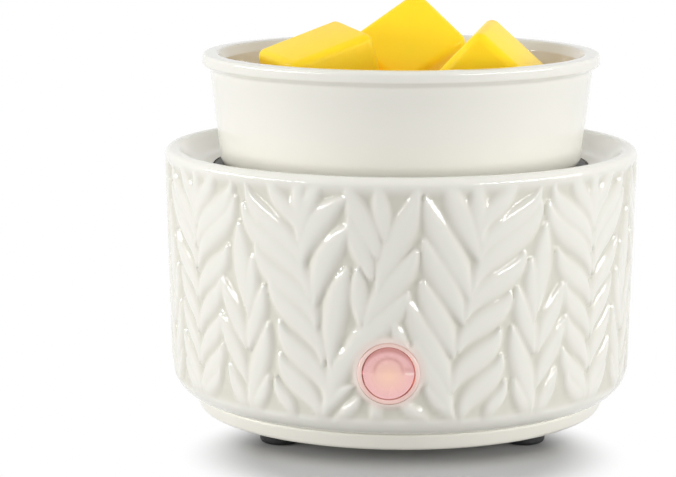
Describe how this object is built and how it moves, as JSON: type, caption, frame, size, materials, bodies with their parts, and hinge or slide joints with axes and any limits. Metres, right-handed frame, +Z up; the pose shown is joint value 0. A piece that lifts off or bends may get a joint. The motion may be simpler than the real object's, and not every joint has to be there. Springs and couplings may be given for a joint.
{
  "type": "wax melt warmer",
  "caption": "Electric wax melt warmer: round glazed ceramic body with leaf relief, lift-off wax dish on a hot plate, lit round rocker switch, and a plain base ring on rubber feet.",
  "frame": {"origin": "on the table, on the axis of the round body", "axes": "+Z up, the switch faces -Y, the cord entry faces +Y"},
  "size_m": [0.132, 0.132, 0.1179],
  "materials": {
    "glaze": "gloss glaze",
    "base_cream": "satin",
    "seal_rubber": "matt",
    "foot_rubber": "matt",
    "plate_coat": "matt heat-proof coat",
    "silicone": "matt",
    "mica": "flat",
    "fibre": "felt",
    "steel": "zinc plated",
    "fuse_can": "plain",
    "switch_shell": "moulded",
    "switch_lens": "tinted, lit from behind",
    "brass": "plain",
    "lamp_glass": "clear",
    "insulator": "moulded",
    "grommet_rubber": "matt",
    "lead_brown": "silicone insulation",
    "lead_blue": "silicone insulation",
    "wax": "cast wax"
  },
  "bodies": {
    "housing": {"ceramic_body": "glaze", "base_cover": "base_cream", "base_gasket": "seal_rubber", "foot_front_left": "foot_rubber", "foot_front_right": "foot_rubber", "foot_rear_left": "foot_rubber", "foot_rear_right": "foot_rubber", "hot_plate": "plate_coat", "plate_gasket": "silicone", "heater_element": "mica", "mica_sheet": "mica", "insulation_pad": "fibre", "heat_shield": "steel", "shield_screws": "steel", "fuse_clip": "steel", "tie_rod_rear": "steel", "tie_rod_left": "steel", "tie_rod_front": "steel", "base_screws": "steel", "block_clamp_screws": "steel", "block_mount_screw": "steel", "thermal_fuse": "fuse_can", "switch_housing": "switch_shell", "terminal_load": "brass", "terminal_line": "brass", "terminal_lamp": "brass", "switch_lamp": "lamp_glass", "spade_connectors": "insulator", "terminal_block": "insulator", "cord_grommet": "grommet_rubber", "lead_line": "lead_brown", "lead_switched": "lead_brown", "lead_fused": "lead_brown", "lead_neutral": "lead_blue", "lead_lamp": "lead_blue"},
    "dish": {"wax_dish": "glaze"},
    "left_melt": {"melt_left": "wax"},
    "middle_melt": {"melt_middle": "wax"},
    "right_melt": {"melt_right": "wax"},
    "rocker": {"switch_rocker": "switch_lens"},
    "contact": {"contact_blade": "brass"}
  },
  "joints": [
    {"name": "dish_lift", "type": "slide", "parent": "housing", "child": "dish", "axis": [0, 0, 1], "range_m": [0, 0.06]},
    {"name": "melt_left_lift", "type": "slide", "parent": "dish", "child": "left_melt", "axis": [-0.3, -0.2, 0.9327], "range_m": [0, 0.05]},
    {"name": "melt_middle_lift", "type": "slide", "parent": "dish", "child": "middle_melt", "axis": [0, 0, 1], "range_m": [0, 0.05]},
    {"name": "melt_right_lift", "type": "slide", "parent": "dish", "child": "right_melt", "axis": [0, 0, 1], "range_m": [0, 0.05]},
    {"name": "rocker_tilt", "type": "hinge", "parent": "housing", "child": "rocker", "pos_m": [0, -0.06329, 0.026], "axis": [1, 0, 0], "range_deg": [0, 14]},
    {"name": "blade_rock", "type": "hinge", "parent": "housing", "child": "contact", "pos_m": [0, -0.05379, 0.026], "axis": [1, 0, 0], "range_deg": [-16, 0]}
  ],
  "couplings": [
    {"joint": "blade_rock", "follows": "rocker_tilt", "ratio": -1.1429}
  ]
}
